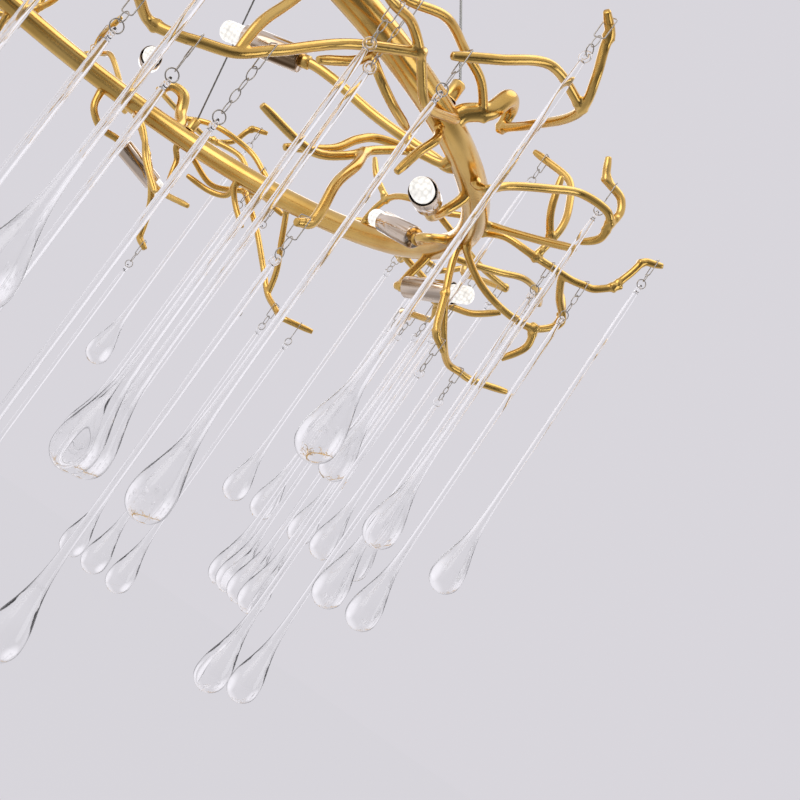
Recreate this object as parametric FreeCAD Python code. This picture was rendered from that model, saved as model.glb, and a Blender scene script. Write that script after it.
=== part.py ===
import FreeCAD, Part
import math
import os

from FreeCAD import Vector

os.makedirs("parts", exist_ok=True)

# A round branch chandelier. Lengths are millimetres, angles are degrees.
# The ceiling is the plane Z = 0, the ring hangs below it, and -Y is the front.
# A point of a branch is (bearing, out, up): its bearing round the ring from +X, its distance
# outside the ring's centreline, and its height above the ring's plane.

# Ring and suspension
RING_DIAMETER = 660.0
RING_FACETS = 36
TUBE_DIAMETER = 22.0
TUBE_FLATS = 12
RING_DROP = 432.0
SECTORS = 3
ANCHOR_BEARING = -33.5
ANCHOR_DIAMETER = 12.0
ANCHOR_HEIGHT = 14.0
CABLE_DIAMETER = 1.8
CABLE_TOP_RADIUS = 72.0
GRIPPER_DIAMETER = 9.0
GRIPPER_LENGTH = 18.0
GRIPPER_NECK = 6.0
GRIPPER_NUT_WIDTH = 12.0
GRIPPER_NUT_HEIGHT = 4.0

# Canopy on the ceiling
CANOPY_DIAMETER = 240.0
CANOPY_HEIGHT = 32.0
CANOPY_WALL = 1.5
CANOPY_EDGE = 1.2
CANOPY_FACETS = 24
BRACKET_WIDTH = 18.0
BRACKET_THICKNESS = 2.5
BRACKET_EAR = 22.0
CEILING_HOLE = 5.0
CEILING_SPACING = 90.0
SIDE_SCREW_DIAMETER = 4.0
SIDE_SCREW_HEAD = 9.0
SIDE_SCREW_HEAD_HEIGHT = 4.0
SIDE_SCREW_LENGTH = 9.0
TERMINAL_LENGTH = 46.0
TERMINAL_WIDTH = 18.0
TERMINAL_HEIGHT = 14.0
TURNED_FACETS = 8

# Branches
TWIG_DIAMETER = 6.0
TWIG_SIDES = 4
HOOK_DIAMETER = 10.0
PENDANT_DIAMETER = 7.0
ARM_DIAMETER = 8.0

# Lamps: a capsule bulb in a ceramic holder in a mirror cup
CUP_DIAMETER = 20.0
CUP_LENGTH = 48.0
CUP_WALL = 1.0
CUP_FLOOR = 3.0
HOLDER_DIAMETER = 14.0
HOLDER_LENGTH = 32.0
BULB_DIAMETER = 16.0
BULB_OUT = 20.0
LAMP_SIDES = 6

# Glass drops, each hung by an eye on a loop of wire
DROP_LENGTH = 295.0
DROP_DIAMETER = 27.0
DROP_FLARE = 70.0
DROP_BELLY = 16.0
DROP_FOOT_DIAMETER = 9.5
DROP_SIDES = 5
STEM_DIAMETER = 5.2
EYE_WIDTH = 8.6
EYE_THICKNESS = 2.4
WIRE_DIAMETER = 1.0
WIRE_SIDES = 3
LOOP_TOP_WIDTH = 10.6
LOOP_WIDTH = 7.0

# Fits
HINGE_CLEARANCE = 0.3
SEAT_GAP = 0.02

RING_RADIUS = RING_DIAMETER / 2
TUBE_RADIUS = TUBE_DIAMETER / 2
WIRE_RADIUS = WIRE_DIAMETER / 2
SECTOR_ANGLE = 360.0 / SECTORS
FACET_ANGLE = 360.0 / RING_FACETS
UP = Vector(0, 0, 1)


def radial(bearing):
    """The level direction away from the ring's axis."""
    angle = math.radians(bearing)
    return Vector(math.cos(angle), math.sin(angle), 0)


def place(bearing, out, up):
    """The point at a bearing, outside the ring's centreline and above its plane."""
    return radial(bearing) * (RING_RADIUS + out) + UP * (up - RING_DROP)


def skin(rings):
    """A closed solid through rings of points, with one flat face per side and flat ends."""
    sides = len(rings[0])
    faces = [Part.Face(Part.makePolygon(end + end[:1])) for end in (rings[0], rings[-1])]
    for low, high in zip(rings, rings[1:]):
        for i in range(sides):
            j = (i + 1) % sides
            faces.append(Part.Face(Part.makePolygon([low[i], low[j], high[j], high[i], low[i]])))
    return outward(faces)


def outward(faces):
    """A solid with these faces, turned so that its outside is outside."""
    solid = Part.Solid(Part.Shell(faces))
    if solid.Volume < 0:
        solid.reverse()
    return solid


def hoop(sections):
    """A closed ring through sections of points, with one flat face per side of each section."""
    sides = len(sections[0])
    faces = []
    for low, high in zip(sections, sections[1:] + sections[:1]):
        for i in range(sides):
            j = (i + 1) % sides
            faces.append(Part.Face(Part.makePolygon([low[i], low[j], high[j], high[i], low[i]])))
    return outward(faces)


def slab(outline, thickness):
    """A flat plate of an outline, half of the thickness to each side of it."""
    face = Part.Face(Part.makePolygon([p - thickness / 2 for p in outline + outline[:1]]))
    return face.extrude(thickness)


def polygon(centre, direction, radius, sides, start=0.5):
    """A regular polygon of points round a centre, square to a direction. The start is the share of
    a side by which the first corner is turned away from the level."""
    direction = Vector(direction).normalize()
    across = direction.cross(UP)
    if across.Length < SEAT_GAP:
        across = direction.cross(Vector(0, 1, 0))
    across.normalize()
    beside = direction.cross(across)
    points = []
    for i in range(sides):
        angle = 2 * math.pi * (i + start) / sides
        points.append(centre + across * (radius * math.cos(angle)) + beside * (radius * math.sin(angle)))
    return points


def slide(points, direction, origin, normal):
    """Moves each point along a direction until it lies in a plane."""
    return [p + direction * ((origin - p).dot(normal) / direction.dot(normal)) for p in points]


def rod_rings(path, radius, root_normal=None, tip_normal=None, sides=TWIG_SIDES):
    """The corners of a bent rod of one thickness at each point of its path, mitred at every bend,
    with each end square or in a given plane. One edge of its first run is on top."""
    ways = [(b - a).normalize() for a, b in zip(path, path[1:])]
    ring = polygon(path[0], ways[0], radius, sides, 0.75 * sides)
    rings = [slide(ring, ways[0], path[0], root_normal or ways[0])]
    for here, before, after in zip(path[1:-1], ways, ways[1:]):
        rings.append(slide(rings[-1], before, here, (before + after).normalize()))
    rings.append(slide(rings[-1], ways[-1], path[-1], tip_normal or ways[-1]))
    return rings


def lathe(profile, origin, axis, sides=TURNED_FACETS):
    """A faceted turning: each entry of the profile is (distance along the axis, radius)."""
    axis = Vector(axis).normalize()
    return skin([polygon(origin + axis * along, axis, radius, sides) for along, radius in profile])


def tube_flat(bearing, around):
    """The point of the ring tube's flat at a bearing, and the flat's normal. Around 0 is the
    outermost flat of the section and 90 the one on top."""
    turn = math.radians(around)
    middle = (math.floor(bearing / FACET_ANGLE) + 0.5) * FACET_ANGLE
    outward_way = radial(middle)
    centre_distance = RING_RADIUS * math.cos(math.radians(FACET_ANGLE / 2))
    apothem = TUBE_RADIUS * math.cos(math.pi / TUBE_FLATS)
    normal = outward_way * math.cos(turn) + UP * math.sin(turn)
    point = outward_way * (centre_distance + apothem * math.cos(turn)) + UP * (apothem * math.sin(turn))
    slip = radial(middle + 90) * (RING_RADIUS * math.tan(math.radians(bearing - middle)))
    return point + slip + normal * SEAT_GAP - UP * RING_DROP, normal


# The branches of one sector, each a chain of points
CHAINS = {
    "hook": [(-29.6, 16, 24), (-28.0, 16.5, 42), (-25.6, 14.5, 42), (-24.4, 12.5, 28)],
    "loop": [(-24.4, 12.5, 30), (-28.0, 42.5, 31), (-33.2, 90, 36), (-35.6, 98, 50), (-36.6, 95.5, 68),
             (-37.2, 96.5, 75), (-39.3, 97.5, 79)],
    "loop_side": [(-33.4, 90, 37), (-38.9, 83, 36), (-43.1, 75, 13), (-46.4, 66, -5.5)],
    "high": [(-29.7, 15.5, 18), (-33.8, 14.5, 30), (-37.5, 11, 33), (-44.0, 19.5, 30.5), (-49.5, 20, 15)],
    "front": [(-36.2, 20, -9), (-41.0, 28.5, -19.5), (-45.9, 35, -5), (-49.0, 38.5, 1), (-53.2, 47, -4)],
    "front_down": [(-45.9, 35, -5), (-52.2, 29, -34), (-57.3, 37, -67), (-60.5, 40, -87), (-64.8, 38, -100),
                   (-67.4, 31, -103), (-70.8, 53, -97)],
    "front_back": [(-58.6, 25, -38), (-60.0, 33, -62), (-60.5, 40, -86)],
    "under": [(-48.0, 5, -26), (-52.0, 8.5, -46)],
    "under_back": [(-45.6, 11, -24), (-42.6, 12.5, -29.5), (-37.6, 7, -29.5)],
    "shin": [(-34.0, 14, -20), (-34.8, 12, -34), (-36.0, 12.5, -56)],
    "inner": [(-25.0, -30, -14), (-28.0, -53, -23), (-30.7, -56, -35), (-33.5, -56, -52), (-40.0, -63, -76)],
    "inner_side": [(-25.6, -33, -16), (-31.2, -39, -39), (-34.0, -41, -54), (-38.0, -48, -68),
                   (-47.6, -59, -69)],
    "pendant": [(-31.8, -39.5, -43), (-34.4, -27, -58), (-37.0, -19, -80), (-38.0, -10, -104),
                (-38.5, -8, -114), (-40.6, -7, -121)],
    "reach": [(-0.8, 27, 9), (-1.4, 52, 8), (0.9, 90, 14), (1.8, 108, 20), (1.8, 127, 36)],
    "reach_tip": [(1.8, 121, 31), (1.9, 127, 50), (2.0, 131, 64), (2.3, 146, 71)],
    "arch": [(-1.3, 55, 8), (-0.7, 59, 42), (0.7, 53.5, 65), (2.3, 43.5, 84), (4.6, 24, 92), (6.8, 8, 97)],
    "arch_side": [(-1.0, 57.5, 26), (-2.0, 45, 44), (-2.3, 36, 73)],
    "bend": [(3.0, 30, -27), (4.0, 62, -33), (4.6, 90, -29), (5.3, 105.5, -10), (2.9, 91, 0), (0.3, 80, 12)],
    "bend_tip": [(5.2, 104.5, -10.5), (5.9, 100, 2), (7.0, 93, 14)],
    "bend_down": [(4.5, 89, -29), (4.9, 93, -44), (5.9, 82, -64)],
    "ball": [(-4.4, 28, 7.5), (-7.4, 58, 10.5), (-9.8, 80.5, 12.5)],
    "rise": [(-21.6, 22, -8), (-19.6, 28, 5), (-16.6, 48, 25), (-13.8, 66, 41), (-12.6, 88, 42),
             (-11.4, 94, 37)],
    "rise_tip": [(-11.6, 93, 38), (-11.0, 94, 51), (-11.0, 88, 61), (-11.3, 72, 67), (-11.6, 64, 82)],
    "rise_down": [(-11.7, 92.5, 38), (-10.4, 92, 28), (-9.2, 80, 20)],
    "spur": [(2.9, 4, -29), (1.4, 13, -54), (0.0, 25, -86), (1.5, 38, -93)],
    "spur_side": [(1.5, 12.5, -53), (5.2, 34, -80), (9.0, 52, -89), (11.0, 76, -86), (12.0, 112, -74)],
    "spray": [(18.0, 27, 4), (18.6, 58, 17), (20.2, 86, 31), (22.6, 112, 36), (26.4, 137, 37),
              (28.8, 140, 55)],
    "far": [(29.0, 32, -14), (28.0, 52, -22), (31.0, 70, -34), (38.0, 72, -36), (39.8, 78, -34),
            (43.4, 112, -27)],
    "far_side": [(28.2, 50, -21), (25.0, 41, -30), (21.8, 68, -22), (20.6, 88, -6)],
    "crest": [(39.5, -15, 36), (34.0, -14, 42), (30.0, 4, 44), (25.8, 28, 56)],
    "crest_side": [(39.8, -14.5, 35), (42.5, -28, 48), (46.0, -30, 66)],
    "crest_out": [(30.4, 3, 44), (29.4, 36, 37), (29.6, 74, 33), (30.2, 115, 35), (39.2, 110, 38),
                  (41.0, 116, 54)],
    "gap": [(49.4, 24, 22), (48.4, 48, 32), (47.8, 82, 33), (45.4, 124, 38), (42.6, 134, 56)],
    "gap_side": [(48.3, 52, 32), (50.6, 80, 38), (53.8, 136, 36), (57.6, 138, 49)],
}

# Where a chain is brazed to the ring: its bearing, and the flat of the tube's section, 0 outermost
# and 90 on top. The other chains grow out of these.
ROOTS = {
    "hook": (-31.2, 60), "front": (-33.2, 0), "front_back": (-57.0, -30), "under": (-46.6, -90),
    "under_back": (-46.6, -90), "shin": (-33.0, -60), "inner": (-24.4, 240), "reach": (1.6, 30),
    "bend": (2.8, -60), "ball": (-2.4, 30), "rise": (-20.8, -30), "spur": (3.4, -90),
    "spray": (17.8, 0), "far": (31.6, -30), "crest": (43.4, 120), "gap": (49.0, 60),
}
THICK = {"hook": HOOK_DIAMETER, "pendant": PENDANT_DIAMETER}

# The brazed branches of each sub-part, each a list of its chains
BRANCHES = {
    "branches_front": [["hook", "loop", "loop_side", "high"], ["front", "front_down", "front_back"]],
    "branches_outer": [["reach", "reach_tip", "arch", "arch_side", "bend", "bend_tip", "bend_down"], ["ball"],
                       ["rise", "rise_tip", "rise_down"], ["far", "far_side"], ["spray"],
                       ["gap", "gap_side"]],
    "branches_lower": [["under", "under_back"], ["shin"], ["inner", "inner_side", "pendant"],
                       ["spur", "spur_side"], ["crest", "crest_side", "crest_out"]],
}

# Lamps of one sector: the root on the ring, the arm's points down to the cup's base, and the way
# the cup faces as a turn from the base's own bearing and a slope
LAMPS = [
    ((-21.6, 210), [(-21.6, -26, -5), (-23.0, -79, 0), (-25.2, -122, 8), (-26.9, -150, 8.5)], (-167.0, -8.0)),
    ((-16.8, -90), [(-17.6, -5, -30), (-20.5, -4, -42), (-25.5, 2.5, -43)], (-68.0, -12.0)),
    ((9.0, 210), [(8.2, -22, -14), (10.4, -28, -16), (13.8, -28.5, -14)], (117.0, 7.0)),
    ((20.8, -90), [(21.0, -3, -32), (20.2, -6, -46), (17.4, -5, -47)], (-56.0, 14.0)),
]

# Drops of one sector, one swinging group per line: its name, the height of the wire axle that
# the glass eyes turn on, and each wire's place as a chain, a run of it and the share along that run.
# From the third drop of a group on, the share is where the run crosses the line of the first two.
DROPS = [
    ("reach_tip", 44.0, [("reach_tip", 2, 0.55)]),
    ("loop_tip", 52.0, [("loop", 5, 0.45)]),
    ("loop_end", -28.0, [("loop_side", 2, 0.7)]),
    ("rise_tip", 40.0, [("rise_tip", 2, 0.5)]),
    ("arch_end", 68.0, [("arch", 4, 0.3)]),
    ("reach_pair", -16.0, [("reach", 2, 0.6), ("reach", 1, 0.45)]),
    ("spur_pair", -117.0, [("spur", 2, 0.5), ("spur_side", 2, 0.5)]),
    ("front_pair", -28.0, [("front", 3, 0.6), ("high", 3, 0.7)]),
    ("down_pair", -123.0, [("front_down", 3, 0.7), ("front_down", 2, 0.3), ("front_down", 5, None)]),
    ("far_pair", -60.0, [("far", 1, 0.45), ("far", 2, 0.7), ("far_side", 1, None), ("far", 4, None)]),
    ("crown_row", 14.0, [("crest_out", 3, 0.12), ("crest_out", 3, 0.7), ("spray", 3, None),
                         ("gap", 2, None), ("gap_side", 1, None)]),
    ("pendant_tip", -146.0, [("pendant", 4, 0.6)]),
]


def branch_rings(chain, turn):
    """The corners of a branch at its root, if it has one, and at each point of its chain."""
    path = [place(bearing + turn, out, up) for bearing, out, up in CHAINS[chain]]
    radius = THICK.get(chain, TWIG_DIAMETER) / 2
    if chain not in ROOTS:
        return rod_rings(path, radius)
    bearing, around = ROOTS[chain]
    foot, normal = tube_flat(bearing + turn, around)
    return rod_rings([foot] + path, radius, normal)


def brazed(chains, turn):
    """One branch, fused from its chains."""
    whole = skin(branch_rings(chains[0], turn))
    for chain in chains[1:]:
        whole = whole.fuse(skin(branch_rings(chain, turn)))
    return whole


def cup_frame(lamp, turn):
    """The base of a lamp's cup and the way the cup faces."""
    _, points, (facing, slope) = lamp
    bearing, out, up = points[-1]
    level = radial(bearing + turn + facing)
    axis = level * math.cos(math.radians(slope)) + UP * math.sin(math.radians(slope))
    return place(bearing + turn, out, up), axis


def lamp_arm(lamp, turn):
    """The arm that carries a lamp, ending square under its cup."""
    (bearing, around), points, _ = lamp
    root, normal = tube_flat(bearing + turn, around)
    base, axis = cup_frame(lamp, turn)
    path = [root] + [place(b + turn, out, up) for b, out, up in points[:-1]]
    return skin(rod_rings(path + [base - axis * ARM_DIAMETER, base], ARM_DIAMETER / 2, normal))


def lamp_cup(lamp, turn):
    """A mirror cup with a closed floor."""
    base, axis = cup_frame(lamp, turn)
    foot = base + axis * SEAT_GAP
    outer = CUP_DIAMETER / 2
    body = lathe([(0, outer), (CUP_LENGTH, outer)], foot, axis, LAMP_SIDES)
    hollow = lathe([(CUP_FLOOR, outer - CUP_WALL), (CUP_LENGTH + CUP_FLOOR, outer - CUP_WALL)], foot, axis,
                   LAMP_SIDES)
    return body.cut(hollow)


def lamp_holder(lamp, turn):
    """The ceramic holder on the floor of the cup."""
    base, axis = cup_frame(lamp, turn)
    start = CUP_FLOOR + 2 * SEAT_GAP
    radius = HOLDER_DIAMETER / 2
    return lathe([(start, radius), (start + HOLDER_LENGTH, radius)], base, axis, LAMP_SIDES)


def lamp_bulb(lamp, turn):
    """The capsule bulb, seated on its holder and standing out of the cup."""
    base, axis = cup_frame(lamp, turn)
    start = CUP_FLOOR + HOLDER_LENGTH + 3 * SEAT_GAP
    end = CUP_LENGTH + BULB_OUT
    radius = BULB_DIAMETER / 2
    return lathe([(start, radius), (end - radius / 2, radius), (end, radius / 2)], base, axis, LAMP_SIDES)


def crossing(first, second, low, high):
    """The share along a run at which it crosses the upright plane through two points."""
    normal = (second - first).cross(UP)
    return (first - low).dot(normal) / (high - low).dot(normal)


def hangs(group, turn):
    """For each drop of a group: the seat of its wire on the branch, the branch's level way there,
    and the middle of the wire axle straight below."""
    _, height, spots = group
    places = []
    result = []
    for chain, run, share in spots:
        low, high = (place(b + turn, out, up) for b, out, up in CHAINS[chain][run:run + 2])
        if share is None:
            share = crossing(places[0], places[1], low, high)
        spot = low + (high - low) * share
        places.append(spot)
        rings = branch_rings(chain, turn)
        corners = rings[run + 1] if chain in ROOTS else rings[run]
        level = Vector(high.x - low.x, high.y - low.y, 0)
        slope = abs(high.z - low.z) / level.Length
        level.normalize()
        crown = max(p.z for p in slide(corners, high - low, spot, level))
        seat = Vector(spot.x, spot.y, crown + SEAT_GAP + WIRE_RADIUS * slope)
        result.append((seat, level, Vector(spot.x, spot.y, height - RING_DROP)))
    return result


def swing_line(points):
    """The level line that a group swings on: through its eyes, or along the branch of a lone one."""
    line = points[1][2] - points[0][2] if len(points) > 1 else points[0][1]
    return Vector(line).normalize()


def wire_rings(top, across, axle, swing):
    """The corners of a wire bent to a loop from the middle of its top, round the axle and back."""
    wide = across * (LOOP_TOP_WIDTH / 2)
    low = swing * (LOOP_WIDTH / 2)
    gap = across * (SEAT_GAP / 2)
    path = [top + gap, top + wide, axle + low, axle - low, top - wide, top - gap]
    return rod_rings(path, WIRE_RADIUS, sides=WIRE_SIDES)


def hanger(seat, level, axle, swing):
    """A wire loop over a branch, its ends meeting on top. The lower bar of the loop is the axle of
    the glass eye."""
    across = level.cross(UP)
    if across.dot(swing) < -SEAT_GAP:
        across = across * -1
    rings = wire_rings(seat, across, axle, swing)
    sag = seat.z - min(p.z for p in rings[0] + rings[-1])
    return skin(wire_rings(seat + UP * sag, across, axle, swing))


def glass_eye(axle, facing, swing):
    """A four-cornered glass ring. The wire axle sits in the crook of its upper corner."""
    reach = EYE_WIDTH / 2
    thick = EYE_THICKNESS / 2
    crook = (WIRE_RADIUS + HINGE_CLEARANCE) * math.sqrt(2)
    centre = axle + UP * (crook - reach + EYE_THICKNESS)
    sections = []
    for way in (UP, facing, UP * -1, facing * -1):
        outer = centre + way * reach
        sections.append([outer + swing * thick, outer - swing * thick, centre + way * (reach - EYE_THICKNESS)])
    return hoop(sections), centre - UP * (reach - thick)


def glass_drop(axle, swing):
    """A glass teardrop on a long stem, with the eye that hangs on the wire. One corner of its
    section points away from the ring's axis."""
    eye, top = glass_eye(axle, swing.cross(UP), swing)
    length = top.z - (axle.z - DROP_LENGTH)
    radius = DROP_DIAMETER / 2
    stem = STEM_DIAMETER / 2
    profile = [(0, stem), (length - DROP_FLARE, stem), (length - DROP_BELLY, radius),
               (length, DROP_FOOT_DIAMETER / 2)]
    start = -math.atan2(axle.y, axle.x) * DROP_SIDES / (2 * math.pi)
    return eye.fuse(skin([polygon(top - UP * down, UP * -1, wide, DROP_SIDES, start) for down, wide in profile]))


def ring_tube():
    """The round ring that carries every branch, with a twelve-sided section."""
    sections = []
    for k in range(RING_FACETS):
        way = radial(k * FACET_ANGLE)
        section = []
        for i in range(TUBE_FLATS):
            angle = 2 * math.pi * (i + 0.5) / TUBE_FLATS
            section.append(way * (RING_RADIUS + TUBE_RADIUS * math.cos(angle)) +
                           UP * (TUBE_RADIUS * math.sin(angle) - RING_DROP))
        sections.append(section)
    return hoop(sections)


def anchor(bearing):
    """A turned boss on top of the tube that holds a cable's end."""
    foot, _ = tube_flat(bearing, 90)
    radius = ANCHOR_DIAMETER / 2
    return lathe([(0, radius / 2), (ANCHOR_HEIGHT, radius)], foot, UP)


def cable_ends(bearing):
    """The lower and upper end of a suspension cable."""
    foot, _ = tube_flat(bearing, 90)
    low = foot + UP * (ANCHOR_HEIGHT + SEAT_GAP)
    high = radial(bearing) * CABLE_TOP_RADIUS - UP * (CANOPY_HEIGHT + GRIPPER_LENGTH + SEAT_GAP)
    return low, high


def cable(bearing):
    """A taut steel cable from its anchor to its gripper."""
    low, high = cable_ends(bearing)
    return skin(rod_rings([low, high], CABLE_DIAMETER / 2, UP, UP))


def gripper(bearing):
    """The cable gripper below the canopy, its neck through the floor and its nut inside."""
    _, high = cable_ends(bearing)
    foot = high + UP * SEAT_GAP
    radius, neck, nut = GRIPPER_DIAMETER / 2, GRIPPER_NECK / 2, GRIPPER_NUT_WIDTH / 2
    inside = GRIPPER_LENGTH + CANOPY_WALL + SEAT_GAP
    seat = GRIPPER_LENGTH - SEAT_GAP
    profile = [(0, neck), (GRIPPER_DIAMETER / 3, radius), (seat, radius), (seat, neck), (inside, neck),
               (inside, nut), (inside + GRIPPER_NUT_HEIGHT, nut)]
    return lathe(profile, foot, UP, LAMP_SIDES)


def canopy():
    """The round ceiling cap, open towards the ceiling, with a softened lower edge."""
    radius = CANOPY_DIAMETER / 2
    wall = CANOPY_WALL
    outer = lathe([(0, radius - CANOPY_EDGE), (CANOPY_EDGE, radius), (CANOPY_HEIGHT, radius)],
                  UP * -CANOPY_HEIGHT, UP, CANOPY_FACETS)
    inner = lathe([(wall, radius - wall), (CANOPY_HEIGHT + wall, radius - wall)], UP * -CANOPY_HEIGHT, UP,
                  CANOPY_FACETS)
    cap = outer.cut(inner)
    for k in range(SECTORS):
        way = radial(ANCHOR_BEARING + k * SECTOR_ANGLE)
        hole = lathe([(-wall, GRIPPER_NECK / 2 + SEAT_GAP), (3 * wall, GRIPPER_NECK / 2 + SEAT_GAP)],
                     way * CABLE_TOP_RADIUS - UP * CANOPY_HEIGHT, UP, LAMP_SIDES)
        cap = cap.cut(hole)
    for side in (-1, 1):
        cap = cap.cut(side_hole(side, radius, wall))
    return cap


def side_hole(side, radius, wall):
    """The clearance hole of a canopy screw through a wall."""
    start = Vector(side * (radius - 2 * wall), 0, -BRACKET_EAR / 2)
    bore = SIDE_SCREW_DIAMETER / 2 + SEAT_GAP
    return lathe([(0, bore), (3 * wall, bore)], start, Vector(side, 0, 0))


def bracket():
    """The crossbar screwed to the ceiling, with an ear at each end for the canopy's screws."""
    reach = (CANOPY_DIAMETER / 2 - CANOPY_WALL) * math.cos(math.pi / CANOPY_FACETS) - SEAT_GAP
    thick = BRACKET_THICKNESS
    half = [(reach, 0), (reach, -BRACKET_EAR), (reach - thick, -BRACKET_EAR), (reach - thick, -thick)]
    outline = [Vector(x, 0, z) for x, z in half] + [Vector(-x, 0, z) for x, z in reversed(half)]
    bar = slab(outline, Vector(0, BRACKET_WIDTH, 0))
    for side in (-1, 1):
        bar = bar.cut(side_hole(side, reach, thick))
        bar = bar.cut(Part.makeCylinder(CEILING_HOLE / 2, thick, Vector(side * CEILING_SPACING / 2, 0, -thick)))
    return bar


def side_screw(side):
    """A screw through the canopy's wall into the bracket's ear."""
    seat = SIDE_SCREW_LENGTH
    profile = [(0, SIDE_SCREW_DIAMETER / 2), (seat, SIDE_SCREW_DIAMETER / 2), (seat, SIDE_SCREW_HEAD / 2),
               (seat + SIDE_SCREW_HEAD_HEIGHT, SIDE_SCREW_HEAD / 2)]
    face = CANOPY_DIAMETER / 2 * math.cos(math.pi / CANOPY_FACETS) + SEAT_GAP
    return lathe(profile, Vector(side * (face - seat), 0, -BRACKET_EAR / 2), Vector(side, 0, 0))


def terminal_block():
    """The wiring block under the bracket."""
    return Part.makeBox(TERMINAL_LENGTH, TERMINAL_WIDTH, TERMINAL_HEIGHT,
                        Vector(-TERMINAL_LENGTH / 2, -TERMINAL_WIDTH / 2,
                               -BRACKET_THICKNESS - SEAT_GAP - TERMINAL_HEIGHT))


def export(name, solids):
    """Writes one sub-part."""
    shape = solids[0] if len(solids) == 1 else Part.makeCompound(solids)
    shape.exportStep("parts/" + name + ".step")
    print(name, len(shape.Solids), "valid" if shape.isValid() else "INVALID", round(shape.Volume, 1))


def main():
    turns = [k * SECTOR_ANGLE for k in range(SECTORS)]
    anchors = [ANCHOR_BEARING + turn for turn in turns]
    lamps = [(lamp, turn) for turn in turns for lamp in LAMPS]
    export("ceiling_bracket", [bracket()])
    export("canopy", [canopy()])
    export("canopy_screws", [side_screw(-1), side_screw(1)])
    export("terminal_block", [terminal_block()])
    export("cable_grippers", [gripper(bearing) for bearing in anchors])
    export("suspension_cables", [cable(bearing) for bearing in anchors])
    export("cable_anchors", [anchor(bearing) for bearing in anchors])
    export("ring_tube", [ring_tube()])
    export("lamp_arms", [lamp_arm(lamp, turn) for lamp, turn in lamps])
    export("lamp_cups", [lamp_cup(lamp, turn) for lamp, turn in lamps])
    export("lamp_holders", [lamp_holder(lamp, turn) for lamp, turn in lamps])
    export("lamp_bulbs", [lamp_bulb(lamp, turn) for lamp, turn in lamps])
    for letter, turn in zip("abc", turns):
        for node, branches in BRANCHES.items():
            export(node + "_" + letter, [brazed(chains, turn) for chains in branches])
        wires = []
        for group in DROPS:
            points = hangs(group, turn)
            swing = swing_line(points)
            wires += [hanger(seat, level, axle, swing) for seat, level, axle in points]
            export("drop_" + group[0] + "_" + letter, [glass_drop(point[2], swing) for point in points])
        export("hanging_wires_" + letter, wires)


main()
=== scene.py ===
import math
from collections import namedtuple

import bpy
from mathutils import Matrix, Vector, noise


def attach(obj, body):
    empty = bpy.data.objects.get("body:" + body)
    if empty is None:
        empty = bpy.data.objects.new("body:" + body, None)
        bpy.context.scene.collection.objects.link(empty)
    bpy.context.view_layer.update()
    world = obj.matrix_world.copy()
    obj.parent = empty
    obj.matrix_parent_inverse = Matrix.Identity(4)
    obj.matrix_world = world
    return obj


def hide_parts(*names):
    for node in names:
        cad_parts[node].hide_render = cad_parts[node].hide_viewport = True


# The round branch chandelier of part.py, dressed for the photograph. Tables are in millimetres and
# degrees as there, and everything that reaches Blender is in metres.

MM = 0.001
UP = Vector((0, 0, 1))

# Each sector's letter and its turn round the ring's axis
SECTORS = {"a": 0.0, "b": 120.0, "c": 240.0}

# Ring, suspension and canopy. The ring's skin lies a little inside the solid one.
RING_RADIUS = 330.0
RING_STEPS = 240
RING_DROP = 432.0
TUBE_RADIUS = 11.0
TUBE_SKIN = 0.1
ANCHOR_BEARING = -33.5
ANCHOR_RADIUS = 6.0
ANCHOR_HEIGHT = 14.0
ANCHOR_SINK = 0.5
CABLE_RADIUS = 0.9
CABLE_TOP_RADIUS = 72.0
GRIPPER_RADIUS = 4.5
GRIPPER_LENGTH = 18.0
GRIPPER_NECK = 3.0
NUT_RADIUS = 5.8
NUT_HEIGHT = 3.8
CANOPY_RADIUS = 120.0
CANOPY_HEIGHT = 32.0
CANOPY_WALL = 1.5

# Branches: their radii, how a rooted one starts under the ring's skin and leaves it, and how much a
# radius wavers, how fast along the branch and how far apart the branches lie in the noise
TWIG_RADIUS = 3.33
HOOK_RADIUS = 6.6
PENDANT_RADIUS = 3.8
ROOT_DEPTH = 4.0
ROOT_RISE = 2.0
TWIG_WAVER, WAVER_SCALE, WAVER_SPREAD = 0.035, 0.05, 5.7
FIRST_SEED = 14

# Shares of a branch's radius that it gains at its root, loses at its tip, and loses along the hook,
# with the lengths over which the first two fade and the steepness of the last
ROOT_SWELLING, ROOT_FADE = 0.30, 3.0
TIP_CUT, TIP_FADE = 0.22, 5.0
HOOK_TAPER, HOOK_STEEPNESS = 0.45, 2.4

# Solder lumps: their mesh and unevenness, their radii as shares of the twig's at a root and at a
# sharp bend, the angle in radians that is sharp, and the path points to look along and to leave free
LUMP_ROWS, LUMP_SIDES = 9, 16
LUMP_UNEVENNESS, LUMP_SCALE, LUMP_SPREAD = 0.35, 1.3, 2.3
ROOT_LUMPS = (1.34, 1.2)
BEND_LUMPS = (1.26, 0.9)
SHARP_BEND = 0.62
BEND_REACH, BEND_SPACING = 3, 8

# Lamps. An arm is wider at its root and runs straight into its cup.
ARM_RADIUS = 3.9
ARM_SWELLING, ARM_FADE = 0.4, 5.0
ARM_STRAIGHT = 9.0
COLLAR_RADIUS = 5.2
CUP_RADIUS = 9.9
CUP_LENGTH = 48.0
CUP_WALL = 0.9
CUP_FLOOR = 3.0
# Painted reflection on the cups: its base level, the gain of the painted highlight bands, and the widths of
# these bands at the cup's base and at its rim
CUP_PAINTED_LEVEL = 0.31
CUP_PAINTED_HIGHLIGHT_GAIN = 0.3
CUP_BASE_HIGHLIGHT_WIDTH, CUP_RIM_HIGHLIGHT_WIDTH = 2.0, 1.5
HOLDER_RADIUS = 6.8
HOLDER_LENGTH = 32.0
BULB_RADIUS = 7.8
BULB_OUT = 20.0
BULB_DOME = 0.7

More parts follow.
